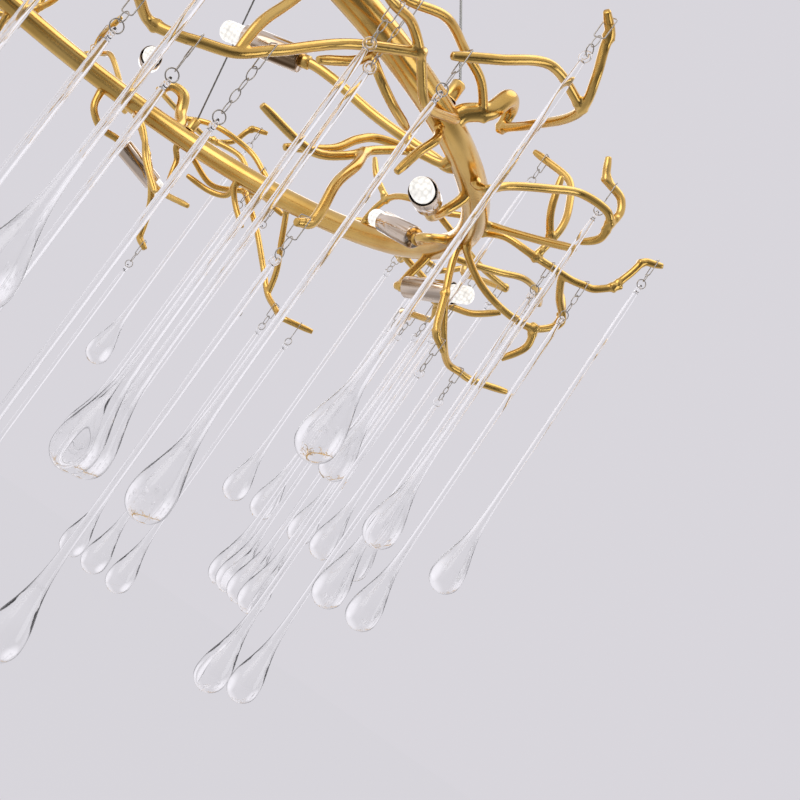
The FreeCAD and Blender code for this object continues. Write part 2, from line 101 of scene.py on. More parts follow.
# Painted reflection streaks on a cup's plating: how fast they change round the cup and along it, a
# seed, and how much this painted reflection brightens or darkens the cup
CUP_PAINTED_STREAKS = [(1.7, 0.012, 0.0, 0.65), (5.0, 0.02, 7.0, 0.35)]

# Drops: the stem has fewer mesh rings than the bulb of glass below it, and faint ribs that fade
# before the glass is widest
DROP_LENGTH = 295.0
DROP_RADIUS = 13.3
STEM_LENGTH = 180.0
STEM_THINNING = 4
RIB_COUNT = 5
RIB_DEPTH = 0.014
RIB_END, RIB_FADE = 250.0, 50.0
EYE_RADIUS = 3.1
EYE_GLASS_RADIUS = 1.3
EYE_WIRE_DROP = 1.35
EYE_STEPS = 36

# Wires: the bail round a twig, the chain's links and the ring in the eye
WIRE_RADIUS = 0.42
WIRE_SIDES = 8
LOOP_STEPS = 24
BAIL_DEPTH = 7.0
BAIL_GAP = 0.35
BAIL_CORNER = 1.3
BAIL_CORNER_STEPS = 5
LINK_RADIUS = 2.1
LINK_WIRE_RADIUS = WIRE_RADIUS * 0.85
LINK_PITCH = 7.5
LINK_OVERLAP = 1.2
EYE_RING_RADIUS = 3.8
EYE_RING_GAP = 0.5

# Meshes: the tubes' sides and the step along smooth paths, the skin that joins a node's twigs, and
# the angle of a fold, in degrees, that stays sharp
TUBE_SIDES = 14
PATH_STEP = 2.5
SHORTEST = 1e-6
PINPOINT = 0.01
VOXEL = 0.72
SKIN_SHARE = 0.36
SKIN_SMOOTHING = 4
FOLD = 50
PAINTED_LIGHT = "painted_light"

# The branches of one sector, as in part.py: points of (bearing, outside the ring's centreline,
# above its plane), and for a rooted one the bearing and the place round the tube of its root
ROOTS = {
    "hook": (-31.2, 60), "front": (-33.2, 0), "front_back": (-57.0, -30), "under": (-46.6, -90),
    "under_back": (-46.6, -90), "shin": (-33.0, -60), "inner": (-24.4, 240), "reach": (1.6, 30),
    "bend": (2.8, -60), "ball": (-2.4, 30), "rise": (-20.8, -30), "spur": (3.4, -90),
    "spray": (17.8, 0), "far": (31.6, -30), "crest": (43.4, 120), "gap": (49.0, 60),
}
CHAINS = {
    "hook": [(-29.6, 16, 24), (-28.0, 16.5, 42), (-25.6, 14.5, 42), (-24.4, 12.5, 28)],
    "loop": [(-24.4, 12.5, 30), (-28.0, 42.5, 31), (-33.2, 90, 36), (-35.6, 98, 50), (-36.6, 95.5, 68),
             (-37.2, 96.5, 75), (-39.3, 97.5, 79)],
    "loop_side": [(-33.4, 90, 37), (-38.9, 83, 36), (-43.1, 75, 13), (-46.4, 66, -5.5)],
    "high": [(-29.7, 15.5, 18), (-33.8, 14.5, 30), (-37.5, 11, 33), (-44.0, 19.5, 30.5), (-49.5, 20, 15)],
    "front": [(-36.2, 20, -9), (-41.0, 28.5, -19.5), (-45.9, 35, -5), (-49.0, 38.5, 1), (-53.2, 47, -4)],
    "front_down": [(-45.9, 35, -5), (-52.2, 29, -34), (-57.3, 37, -67), (-60.5, 40, -87), (-64.8, 38, -100),
                   (-67.4, 31, -103), (-70.8, 53, -97)],
    "front_back": [(-58.6, 25, -38), (-60.0, 33, -62), (-60.5, 40, -86)],
    "under": [(-48.0, 5, -26), (-52.0, 8.5, -46)],
    "under_back": [(-45.6, 11, -24), (-42.6, 12.5, -29.5), (-37.6, 7, -29.5)],
    "shin": [(-34.0, 14, -20), (-34.8, 12, -34), (-36.0, 12.5, -56)],
    "inner": [(-25.0, -30, -14), (-28.0, -53, -23), (-30.7, -56, -35), (-33.5, -56, -52), (-40.0, -63, -76)],
    "inner_side": [(-25.6, -33, -16), (-31.2, -39, -39), (-34.0, -41, -54), (-38.0, -48, -68),
                   (-47.6, -59, -69)],
    "pendant": [(-31.8, -39.5, -43), (-34.4, -27, -58), (-37.0, -19, -80), (-38.0, -10, -104),
                (-38.5, -8, -114), (-40.6, -7, -121)],
    "reach": [(-0.8, 27, 9), (-1.4, 52, 8), (0.9, 90, 14), (1.8, 108, 20), (1.8, 127, 36)],
    "reach_tip": [(1.8, 121, 31), (1.9, 127, 50), (2.0, 131, 64), (2.3, 146, 71)],
    "arch": [(-1.3, 55, 8), (-0.7, 59, 42), (0.7, 53.5, 65), (2.3, 43.5, 84), (4.6, 24, 92), (6.8, 8, 97)],
    "arch_side": [(-1.0, 57.5, 26), (-2.0, 45, 44), (-2.3, 36, 73)],
    "bend": [(3.0, 30, -27), (4.0, 62, -33), (4.6, 90, -29), (5.3, 105.5, -10), (2.9, 91, 0), (0.3, 80, 12)],
    "bend_tip": [(5.2, 104.5, -10.5), (5.9, 100, 2), (7.0, 93, 14)],
    "bend_down": [(4.5, 89, -29), (4.9, 93, -44), (5.9, 82, -64)],
    "ball": [(-4.4, 28, 7.5), (-7.4, 58, 10.5), (-9.8, 80.5, 12.5)],
    "rise": [(-21.6, 22, -8), (-19.6, 28, 5), (-16.6, 48, 25), (-13.8, 66, 41), (-12.6, 88, 42),
             (-11.4, 94, 37)],
    "rise_tip": [(-11.6, 93, 38), (-11.0, 94, 51), (-11.0, 88, 61), (-11.3, 72, 67), (-11.6, 64, 82)],
    "rise_down": [(-11.7, 92.5, 38), (-10.4, 92, 28), (-9.2, 80, 20)],
    "spur": [(2.9, 4, -29), (1.4, 13, -54), (0.0, 25, -86), (1.5, 38, -93)],
    "spur_side": [(1.5, 12.5, -53), (5.2, 34, -80), (9.0, 52, -89), (11.0, 76, -86), (12.0, 112, -74)],
    "spray": [(18.0, 27, 4), (18.6, 58, 17), (20.2, 86, 31), (22.6, 112, 36), (26.4, 137, 37),
              (28.8, 140, 55)],
    "far": [(29.0, 32, -14), (28.0, 52, -22), (31.0, 70, -34), (38.0, 72, -36), (39.8, 78, -34),
            (43.4, 112, -27)],
    "far_side": [(28.2, 50, -21), (25.0, 41, -30), (21.8, 68, -22), (20.6, 88, -6)],
    "crest": [(39.5, -15, 36), (34.0, -14, 42), (30.0, 4, 44), (25.8, 28, 56)],
    "crest_side": [(39.8, -14.5, 35), (42.5, -28, 48), (46.0, -30, 66)],
    "crest_out": [(30.4, 3, 44), (29.4, 36, 37), (29.6, 74, 33), (30.2, 115, 35), (39.2, 110, 38),
                  (41.0, 116, 54)],
    "gap": [(49.4, 24, 22), (48.4, 48, 32), (47.8, 82, 33), (45.4, 124, 38), (42.6, 134, 56)],
    "gap_side": [(48.3, 52, 32), (50.6, 80, 38), (53.8, 136, 36), (57.6, 138, 49)],
}
THICK = {"hook": HOOK_RADIUS, "pendant": PENDANT_RADIUS}

# The chains of each node of branches
NODES = {
    "front": ["hook", "loop", "loop_side", "high", "front", "front_down", "front_back"],
    "outer": ["reach", "reach_tip", "arch", "arch_side", "bend", "bend_tip", "bend_down", "ball", "rise",
              "rise_tip", "rise_down", "far", "far_side", "spray", "gap", "gap_side"],
    "lower": ["under", "under_back", "shin", "inner", "inner_side", "pendant", "spur", "spur_side", "crest",
              "crest_side", "crest_out"],
}

# Lamps: the root of the arm as for a branch, the arm's points up to the cup's base, and the way the
# cup faces as its bearing from the base's and its slope
LAMPS = [
    ((-21.6, 210), [(-21.6, -26, -5), (-23.0, -79, 0), (-25.2, -122, 8), (-26.9, -150, 8.5)], (-167.0, -8.0)),
    ((-16.8, -90), [(-17.6, -5, -30), (-20.5, -4, -42), (-25.5, 2.5, -43)], (-68.0, -12.0)),
    ((9.0, 210), [(8.2, -22, -14), (10.4, -28, -16), (13.8, -28.5, -14)], (117.0, 7.0)),
    ((20.8, -90), [(21.0, -3, -32), (20.2, -6, -46), (17.4, -5, -47)], (-56.0, 14.0)),
]

# Drops: the height of each body's wire axle, and each wire's chain, run and share along it. None
# is where the run crosses the upright plane of the body's first two drops.
DROPS = {
    "reach_tip": (44.0, [("reach_tip", 2, 0.55)]),
    "loop_tip": (52.0, [("loop", 5, 0.45)]),
    "loop_end": (-28.0, [("loop_side", 2, 0.7)]),
    "rise_tip": (40.0, [("rise_tip", 2, 0.5)]),
    "arch_end": (68.0, [("arch", 4, 0.3)]),
    "reach_pair": (-16.0, [("reach", 2, 0.6), ("reach", 1, 0.45)]),
    "spur_pair": (-117.0, [("spur", 2, 0.5), ("spur_side", 2, 0.5)]),
    "front_pair": (-28.0, [("front", 3, 0.6), ("high", 3, 0.7)]),
    "down_pair": (-123.0, [("front_down", 3, 0.7), ("front_down", 2, 0.3), ("front_down", 5, None)]),
    "far_pair": (-60.0, [("far", 1, 0.45), ("far", 2, 0.7), ("far_side", 1, None), ("far", 4, None)]),
    "crown_row": (14.0, [("crest_out", 3, 0.12), ("crest_out", 3, 0.7), ("spray", 3, None),
                         ("gap", 2, None), ("gap_side", 1, None)]),
    "pendant_tip": (-146.0, [("pendant", 4, 0.6)]),
}

# Turned profiles: (along the axis, radius)
ANCHOR_PROFILE = [
    (0, 0), (0, ANCHOR_RADIUS), (0.8, ANCHOR_RADIUS - 0.7), (1.6, ANCHOR_RADIUS - 0.9),
    (ANCHOR_HEIGHT - 1.4, ANCHOR_RADIUS - 0.9), (ANCHOR_HEIGHT, ANCHOR_RADIUS - 2.2),
    (ANCHOR_HEIGHT, 1.2), (ANCHOR_HEIGHT - 0.4, 0),
]
NUT_START = GRIPPER_LENGTH + CANOPY_WALL
GRIPPER_PROFILE = [
    (0, 0), (0, 1.8), (0.6, 2.6), (5, 4.0), (5.6, GRIPPER_RADIUS), (GRIPPER_LENGTH - 3, GRIPPER_RADIUS),
    (GRIPPER_LENGTH - 2.4, 4.1), (GRIPPER_LENGTH - 1.6, 4.1), (GRIPPER_LENGTH - 1, GRIPPER_RADIUS),
    (GRIPPER_LENGTH, GRIPPER_RADIUS - 0.2), (GRIPPER_LENGTH, GRIPPER_NECK), (NUT_START, GRIPPER_NECK),
    (NUT_START, NUT_RADIUS), (NUT_START + NUT_HEIGHT, NUT_RADIUS), (NUT_START + NUT_HEIGHT, 0),
]
CANOPY_INSIDE = CANOPY_RADIUS - CANOPY_WALL
CANOPY_OUTSIDE = CANOPY_RADIUS - 0.3
CANOPY_PROFILE = [
    (-CANOPY_HEIGHT, 0), (-CANOPY_HEIGHT, CANOPY_OUTSIDE - 2.2), (-CANOPY_HEIGHT + 0.5, CANOPY_OUTSIDE - 0.9),
    (-CANOPY_HEIGHT + 1.4, CANOPY_OUTSIDE - 0.2), (-CANOPY_HEIGHT + 2.2, CANOPY_OUTSIDE),
    (-0.3, CANOPY_OUTSIDE), (0, CANOPY_OUTSIDE - 0.3), (0, CANOPY_INSIDE),
    (-CANOPY_HEIGHT + CANOPY_WALL, CANOPY_INSIDE), (-CANOPY_HEIGHT + CANOPY_WALL, 0),
]
COLLAR_PROFILE = [
    (-7, 0), (-7, COLLAR_RADIUS - 0.6), (-6.4, COLLAR_RADIUS), (-0.6, COLLAR_RADIUS),
    (0.05, COLLAR_RADIUS - 0.4), (0.05, 0),
]
CUP_INSIDE = CUP_RADIUS - CUP_WALL
CUP_PROFILE = [
    (0.1, 0), (0.1, CUP_RADIUS - 1.2), (0.5, CUP_RADIUS - 0.4), (1.3, CUP_RADIUS),
    (CUP_LENGTH - 0.4, CUP_RADIUS), (CUP_LENGTH, CUP_RADIUS - 0.3), (CUP_LENGTH, CUP_INSIDE + 0.3),
    (CUP_LENGTH - 0.4, CUP_INSIDE), (CUP_FLOOR, CUP_INSIDE), (CUP_FLOOR, 0),
]
HOLDER_START = CUP_FLOOR + 0.1
HOLDER_END = HOLDER_START + HOLDER_LENGTH
HOLDER_PROFILE = [
    (HOLDER_START, 0), (HOLDER_START, HOLDER_RADIUS), (HOLDER_END - 1, HOLDER_RADIUS),
    (HOLDER_END, HOLDER_RADIUS - 1), (HOLDER_END, 0),
]
BULB_START = HOLDER_END + 0.1
BULB_END = CUP_LENGTH + BULB_OUT
BULB_PROFILE = [
    (BULB_START, 0), (BULB_START, BULB_RADIUS - 1), (BULB_START + 1, BULB_RADIUS),
    (CUP_LENGTH - 1, BULB_RADIUS), (CUP_LENGTH + 0.5, BULB_RADIUS),
] + [
    (BULB_END - BULB_RADIUS * BULB_DOME * (1 - math.sin(angle)), BULB_RADIUS * math.cos(angle))
    for angle in map(math.radians, range(0, 91, 15))
]

# The drop's knots: distance below the wire axle, and radius
DROP_KNOTS = [
    (5.0, 1.9), (12, 2.35), (100, 2.4), (175, 2.5), (200, 2.65), (217, 3.0), (231, 3.8), (241, 4.9),
    (249, 6.4), (257, 8.4), (265, 10.8), (273, 12.7), (279, 13.3), (284, 13.0), (288, 11.6),
    (291.5, 8.8), (293.8, 5.4), (DROP_LENGTH - 0.2, 2.4),
]


def radial(bearing):
    """The level direction away from the ring's axis."""
    angle = math.radians(bearing)
    return Vector((math.cos(angle), math.sin(angle), 0))


def place(bearing, out, up):
    """The point of a branch, in metres."""
    return (radial(bearing) * (RING_RADIUS + out) + UP * (up - RING_DROP)) * MM


def tube_point(bearing, around, depth):
    """A point that far under the skin of the ring's tube."""
    turn = math.radians(around)
    reach = TUBE_RADIUS - depth
    return place(bearing, reach * math.cos(turn), reach * math.sin(turn))


def root_points(bearing, around):
    """The first two points of a branch or an arm, under the ring's skin and outside it."""
    return [tube_point(bearing, around, ROOT_DEPTH), tube_point(bearing, around, -ROOT_RISE)]


def circle_angles(count):
    """The angles of evenly spaced points round a circle."""
    return [2 * math.pi * i / count for i in range(count)]


# Mesh making


def new_object(name, data):
    """A new object in the scene."""
    obj = bpy.data.objects.new(name, data)
    bpy.context.scene.collection.objects.link(obj)
    return obj


class Shape:
    """Collects the points and faces of one piece, and the values of painted reflection and painted shade that
    some materials read.
    """

    def __init__(self):
        self.points = []
        self.faces = []
        self.painted_light_values = []

    def rings(self, rings, close=False):
        """Skins rings of points that all have the same count, with a face at each open end."""
        sides = len(rings[0])
        first = len(self.points)
        for ring in rings:
            self.points.extend(ring)
        count = len(rings) if close else len(rings) - 1
        for k in range(count):
            low = first + k * sides
            high = first + ((k + 1) % len(rings)) * sides
            for i in range(sides):
                j = (i + 1) % sides
                self.faces.append((low + i, low + j, high + j, high + i))
        if not close:
            last = first + (len(rings) - 1) * sides
            self.faces.append(tuple(first + i for i in reversed(range(sides))))
            self.faces.append(tuple(last + i for i in range(sides)))

    def tube(self, path, radius, sides=TUBE_SIDES, close=False):
        """A tube along a path. The radius is a number or a function of the distance and the length."""
        frames, distances = carried_frames(path, close)
        total = distances[-1]
        rings = []
        for point, (across, beside), at in zip(path, frames, distances):
            here = (radius(at, total) if callable(radius) else radius) * MM
            rings.append([point + across * (here * math.cos(angle)) + beside * (here * math.sin(angle))
                          for angle in circle_angles(sides)])
        self.rings(rings, close=close)

    def turned(self, profile, origin, axis, sides=32, painted_light=None, ribs=None):
        """A turning of (along, radius) in millimetres from an origin, closed where the radius is 0.
        A function gives the value that its material reads for painted reflection on a cup and painted shade
        on a bulb, at each place along and round it, and ribs how deep its faint ribs are."""
        axis = Vector(axis).normalized()
        across = axis.orthogonal().normalized()
        beside = axis.cross(across)
        rings = []
        for along, radius in profile:
            centre = origin + axis * (along * MM)
            depth = ribs(along) if ribs else 0.0
            ring = []
            for angle in circle_angles(sides):
                if painted_light:
                    self.painted_light_values.append(painted_light(along, angle))
                reach = max(radius, PINPOINT) * MM * (1 - depth * (1 - math.cos(RIB_COUNT * angle)))
                ring.append(centre + across * (reach * math.cos(angle)) + beside * (reach * math.sin(angle)))
            rings.append(ring)
        self.rings(rings)

    def make(self, name, body, material, slot, replaces, brazed=False):
        """Makes the piece, rides it on its body and puts it in the place of its CAD nodes."""
        mesh = bpy.data.meshes.new(name)
        mesh.from_pydata([tuple(point) for point in self.points], [], self.faces)
        if self.painted_light_values:
            mesh.attributes.new(PAINTED_LIGHT, "FLOAT", "POINT").data.foreach_set("value", self.painted_light_values)
        obj = new_object(name, mesh)
        if brazed:
            mesh = one_skin(obj)
        mesh.materials.append(material)
        mesh.shade_smooth()
        mesh.set_sharp_from_angle(angle=math.radians(180 if brazed else FOLD))
        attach(obj, body)
        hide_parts(*replaces)


def one_skin(obj):
    """Runs the overlapping tubes and lumps of a piece together into one skin with soft fillets."""
    skin = obj.modifiers.new("skin", "REMESH")
    skin.mode = "VOXEL"
    skin.voxel_size = VOXEL * MM
    add_smoothing(obj)
    obj.modifiers.new("lighten", "DECIMATE").ratio = SKIN_SHARE
    add_smoothing(obj)
    evaluated = obj.evaluated_get(bpy.context.evaluated_depsgraph_get())
    mesh = bpy.data.meshes.new_from_object(evaluated)
    obj.modifiers.clear()
    obj.data = mesh
    return mesh


def add_smoothing(obj):
    """Adds a smoothing modifier."""
    smoothing = obj.modifiers.new("smoothing", "SMOOTH")
    smoothing.factor = 0.5
    smoothing.iterations = SKIN_SMOOTHING


def carried_frames(path, close):
    """Two directions across the path at each point, carried along without twist, and the distances."""
    count = len(path)
    ways = []
    for i in range(count):
        before = path[i - 1] if (i > 0 or close) else path[i]
        after = path[(i + 1) % count] if (i < count - 1 or close) else path[i]
        ways.append((after - before).normalized())
    across = ways[0].cross(UP)
    across = across.normalized() if across.length > 0.1 else ways[0].orthogonal().normalized()
    frames, distances = [], []
    for i, way in enumerate(ways):
        across = (across - way * across.dot(way)).normalized()
        frames.append((across, way.cross(across)))
        distances.append(0.0 if i == 0 else distances[-1] + (path[i] - path[i - 1]).length / MM)
    return frames, distances


def smooth_path(points):
    """A smooth path through the points, with a point about every step."""
    ends = [points[0] * 2 - points[1]] + list(points) + [points[-1] * 2 - points[-2]]
    path = []
    for corners in zip(ends, ends[1:], ends[2:], ends[3:]):
        times = [0.0]
        for low, high in zip(corners, corners[1:]):
            times.append(times[-1] + max((high - low).length, SHORTEST) ** 0.5)
        count = max(2, int((corners[2] - corners[1]).length / MM / PATH_STEP))
        for k in range(count):
            path.append(smooth_point(corners, times, times[1] + (times[2] - times[1]) * k / count))
    path.append(points[-1].copy())
    return path


def smooth_point(corners, times, now):
    """The point at one time on the centripetal curve through four corners at their times."""
    points = corners
    for spans in (zip(times, times[1:]), zip(times, times[2:]), [times[1:3]]):
        points = [a * ((end - now) / (end - start)) + b * ((now - start) / (end - start))
                  for a, b, (start, end) in zip(points, points[1:], spans)]
    return points[0]


# Materials


def new_material(name, values):
    """A new material with a Principled shader of these inputs, and its nodes and links."""
    material = bpy.data.materials.new(name)
    material.use_nodes = True
    tree = material.node_tree
    shader = tree.nodes["Principled BSDF"]
    for entry, value in values.items():
        shader.inputs[entry].default_value = value
    return material, tree.nodes, tree.links, shader


def object_coordinates(nodes):
    """Places in metres on the object."""
    return nodes.new("ShaderNodeTexCoord").outputs["Object"]


def noise_texture(nodes, links, scale, detail, stretch=(1, 1, 1)):
    """The height of a noise on object coordinates."""
    mapping = nodes.new("ShaderNodeMapping")
    mapping.inputs["Scale"].default_value = stretch
    texture = nodes.new("ShaderNodeTexNoise")
    texture.inputs["Scale"].default_value = scale
    texture.inputs["Detail"].default_value = detail
    links.new(object_coordinates(nodes), mapping.inputs["Vector"])
    links.new(mapping.outputs["Vector"], texture.inputs["Vector"])
    return texture.outputs["Fac"]


def ramp(nodes, links, source, target, stops):
    """Feeds an input with a colour ramp of (position, colour) on a value."""
    node = nodes.new("ShaderNodeValToRGB")
    while len(node.color_ramp.elements) < len(stops):
        node.color_ramp.elements.new(0.5)
    for element, (position, colour) in zip(node.color_ramp.elements, stops):
        element.position = position
        element.color = (*colour, 1)
    links.new(source, node.inputs["Fac"])
    links.new(node.outputs["Color"], target)


def value_range(nodes, links, source, low, high):
    """Maps a value of 0 to 1 onto a range."""
    node = nodes.new("ShaderNodeMapRange")
    node.inputs["To Min"].default_value = low
    node.inputs["To Max"].default_value = high
    links.new(source, node.inputs["Value"])
    return node.outputs["Result"]


def bump(nodes, links, source, shader, distance, strength):
    """Bumps a shader's surface with a height in metres."""
    node = nodes.new("ShaderNodeBump")
    node.inputs["Strength"].default_value = strength
    node.inputs["Distance"].default_value = distance
    links.new(source, node.inputs["Height"])
    links.new(node.outputs["Normal"], shader.inputs["Normal"])


def painted_light_value(nodes):
    """The painted reflection value of a cup, and the painted shade value of a bulb, that the shape gave to
    its points.
    """
    node = nodes.new("ShaderNodeAttribute")
    node.attribute_name = PAINTED_LIGHT
    return node.outputs["Fac"]


def combined(nodes, links, operation, *values):
    """Some values, each an output or a number, joined by a math operation from left to right."""
    result = values[0]
    for other in values[1:]:
        node = nodes.new("ShaderNodeMath")
        node.operation = operation
        for value, entry in zip((result, other), node.inputs):
            if isinstance(value, (int, float)):
                entry.default_value = value
            else:
                links.new(value, entry)
        result = node.outputs[0]
    return result


def gold_material():
    """Satin gold lacquer on brass, smooth, a little deeper in wide soft patches."""
    material, nodes, links, shader = new_material(
        "satin_gold", {"Metallic": 1.0, "Coat Weight": 0.35, "Coat Roughness": 0.12})
    patches = noise_texture(nodes, links, scale=28.0, detail=2.0)
    ramp(nodes, links, patches, shader.inputs["Base Color"],
         [(0.3, (0.71, 0.425, 0.095)), (0.5, (0.77, 0.485, 0.125)), (0.7, (0.82, 0.54, 0.16))])
    grain = noise_texture(nodes, links, scale=90.0, detail=2.0)
    links.new(value_range(nodes, links, grain, 0.19, 0.27), shader.inputs["Roughness"])
    cast = noise_texture(nodes, links, scale=70.0, detail=2.0)
    bump(nodes, links, cast, shader, distance=0.0004, strength=0.2)
    return material


def mirror_material():
    """Polished champagne plating of the lamp cups, its colour painted dark to light as a painted reflection,
    by the value that the shape gave its points.
    """
    material, nodes, links, shader = new_material("mirror_metal", {"Metallic": 1.0})
    # Painted reflection: dark brown to pale champagne in the base colour, in place of the dark and gold
    # surroundings that the mirror would reflect
    ramp(nodes, links, painted_light_value(nodes), shader.inputs["Base Color"],
         [(0.25, (0.13, 0.075, 0.035)), (0.5, (0.45, 0.32, 0.20)), (0.75, (0.78, 0.66, 0.54))])
    smear = noise_texture(nodes, links, scale=120.0, detail=3.0)
    links.new(value_range(nodes, links, smear, 0.04, 0.10), shader.inputs["Roughness"])
    return material


def wire_material():
    """Bright steel wire."""
    material, nodes, links, shader = new_material(
        "bright_wire", {"Metallic": 1.0, "Base Color": (0.50, 0.47, 0.42, 1)})
    drawn = noise_texture(nodes, links, scale=2500.0, detail=2.0)
    links.new(value_range(nodes, links, drawn, 0.15, 0.35), shader.inputs["Roughness"])
    return material


def cable_material():
    """Stranded steel cable."""
    material, nodes, links, shader = new_material("steel_cable", {"Metallic": 1.0, "Roughness": 0.38})
    strands = nodes.new("ShaderNodeTexWave")
    strands.inputs["Scale"].default_value = 420.0
    strands.bands_direction = "DIAGONAL"
    links.new(object_coordinates(nodes), strands.inputs["Vector"])
    ramp(nodes, links, strands.outputs["Fac"], shader.inputs["Base Color"],
         [(0.2, (0.16, 0.16, 0.15)), (0.8, (0.42, 0.42, 0.40))])
    bump(nodes, links, strands.outputs["Fac"], shader, distance=0.0003, strength=0.6)
    return material


def glass_material():
    """Clear hand-drawn glass, faintly wavy along the stem, with painted shade that greys it where it is seen
    edge on.
    """
    material, nodes, links, shader = new_material(
        "clear_glass", {"Transmission Weight": 1.0, "Roughness": 0.0, "IOR": 1.5})
    # Painted shade: the colour darkens where the glass is seen edge on, in place of the dark surroundings
    # that its edges would bend into view
    facing = nodes.new("ShaderNodeLayerWeight")
    facing.inputs["Blend"].default_value = 0.5
    ramp(nodes, links, facing.outputs["Facing"], shader.inputs["Base Color"],
         [(0.0, (1.0, 1.0, 1.0)), (0.72, (0.98, 0.98, 0.98)), (0.90, (0.60, 0.60, 0.60)),
          (1.0, (0.13, 0.13, 0.12))])
    waves = noise_texture(nodes, links, scale=120.0, detail=2.0, stretch=(1, 1, 0.2))
    bump(nodes, links, waves, shader, distance=0.0003, strength=0.1)
    return material


def ceramic_material():
    """Matt white ceramic of the lamp holders."""
    material, nodes, links, shader = new_material("white_ceramic", {"Roughness": 0.55})
    speckle = noise_texture(nodes, links, scale=700.0, detail=3.0)
    ramp(nodes, links, speckle, shader.inputs["Base Color"],
         [(0.35, (0.72, 0.70, 0.66)), (0.6, (0.82, 0.80, 0.77))])
    return material


def bulb_material():
    """The lit capsule bulb: rows of small bright cells under a clear cover, with painted shade inside the
    cup, where the value the shape gave it is 0."""
    material, nodes, links, shader = new_material(
        "lit_bulb", {"Roughness": 0.25, "Emission Color": (1.0, 0.97, 0.92, 1)})
    lit = painted_light_value(nodes)
    # Painted shade: the base colour is near black inside the cup, where the cup would shade the bulb
    ramp(nodes, links, lit, shader.inputs["Base Color"],
         [(0.0, (0.05, 0.045, 0.04)), (1.0, (0.42, 0.41, 0.38))])
    cells = nodes.new("ShaderNodeTexVoronoi")
    cells.inputs["Scale"].default_value = 300.0
    cells.inputs["Randomness"].default_value = 0.3
    links.new(object_coordinates(nodes), cells.inputs["Vector"])
    glow = value_range(nodes, links, cells.outputs["Distance"], 1.15, 0.35)
    links.new(combined(nodes, links, "MULTIPLY", glow, lit), shader.inputs["Emission Strength"])
    return material


def steel_material():
    """Zinc-plated bracket steel."""
    material, nodes, links, shader = new_material("zinc_steel", {"Metallic": 1.0})
    spangle = noise_texture(nodes, links, scale=160.0, detail=5.0)
    ramp(nodes, links, spangle, shader.inputs["Base Color"],
         [(0.35, (0.50, 0.51, 0.52)), (0.65, (0.66, 0.67, 0.68))])
    links.new(value_range(nodes, links, spangle, 0.35, 0.5), shader.inputs["Roughness"])
    return material


def plastic_material():
    """White terminal block."""
    material, nodes, links, shader = new_material("white_plastic", {"Roughness": 0.5})
    mould = noise_texture(nodes, links, scale=400.0, detail=3.0)
    ramp(nodes, links, mould, shader.inputs["Base Color"],
         [(0.4, (0.74, 0.74, 0.72)), (0.6, (0.80, 0.80, 0.78))])
    return material


# Branches


def run_ends(chain, run, turn):
    """Both ends of one run of a branch."""
    return [place(bearing + turn, out, up) for bearing, out, up in CHAINS[chain][run:run + 2]]


def worked_spots():
    """Every wire's chain, run and share along it, with those on a crossing worked out."""
    result = {}
    for name, (_, spots) in DROPS.items():
        places, found = [], []
        for chain, run, share in spots:
            low, high = run_ends(chain, run, 0.0)
            if share is None:
                normal = (places[1] - places[0]).cross(UP)
                share = (places[0] - low).dot(normal) / (high - low).dot(normal)
            places.append(low.lerp(high, share))
            found.append((chain, run, share))
        result[name] = found
    return result


SPOTS = worked_spots()


def chain_path(name, turn):
    """The smooth middle line of a branch, through the places where its bails hang."""
    corners = [place(bearing + turn, out, up) for bearing, out, up in CHAINS[name]]
    marked = [(float(i), corner) for i, corner in enumerate(corners)]
    marked += [(run + share, corners[run].lerp(corners[run + 1], share))
               for spots in SPOTS.values() for chain, run, share in spots if chain == name]
    points = [point for _, point in sorted(marked, key=lambda item: item[0])]
    if name in ROOTS:
        bearing, around = ROOTS[name]
        points = root_points(bearing + turn, around) + points
    return smooth_path(points)


def twig_radius(name, seed):
    """The radius along a branch: a weld swelling at its root and a cut tip. The hook narrows to the
    twig that leaves it."""
    base = THICK.get(name, TWIG_RADIUS)

    def radius(at, total):
        root = ROOT_SWELLING * math.exp(-at / ROOT_FADE)
        waver = TWIG_WAVER * noise.noise(Vector((at * WAVER_SCALE, seed * WAVER_SPREAD, 0.0)))
        tip = -TIP_CUT * math.exp(-((total - at) / TIP_FADE) ** 2)
        if name == "hook":
            tip = -HOOK_TAPER * max(0.0, min(1.0, at / total * HOOK_STEEPNESS - (HOOK_STEEPNESS - 1)))
        return base * (1 + root + waver + tip)

    return radius


def lump(shape, centre, size, seed):
    """A small irregular lump of solder, its radius a share of a twig's."""
    radius = TWIG_RADIUS * size
    rings = []
    for row in range(LUMP_ROWS):
        lift = math.pi * (row + 0.5) / LUMP_ROWS
        ring = []
        for angle in circle_angles(LUMP_SIDES):
            way = Vector((math.sin(lift) * math.cos(angle), math.sin(lift) * math.sin(angle),
                          math.cos(lift)))
            uneven = 1 + LUMP_UNEVENNESS * noise.noise(way * LUMP_SCALE + UP * (seed * LUMP_SPREAD))
            ring.append(centre + way * (radius * MM * uneven))
        rings.append(ring)
    shape.rings(rings)


def solder(shape, path, seed):
    """The lumps along a twig: two at its root, and two at each sharp bend."""
    lump(shape, path[0], ROOT_LUMPS[0], seed)
    lump(shape, path[0].lerp(path[4], 0.5), ROOT_LUMPS[1], seed + 0.5)
    since = 0
    for i in range(BEND_REACH, len(path) - BEND_REACH - 1):
        since += 1
        bend = (path[i] - path[i - BEND_REACH]).angle(path[i + BEND_REACH] - path[i])
        if bend > SHARP_BEND and since > BEND_SPACING:
            lump(shape, path[i], BEND_LUMPS[0], seed + i)
            lump(shape, path[i - 1] + UP * (0.5 * TWIG_RADIUS * MM), BEND_LUMPS[1], seed + i * 0.3)
            since = 0


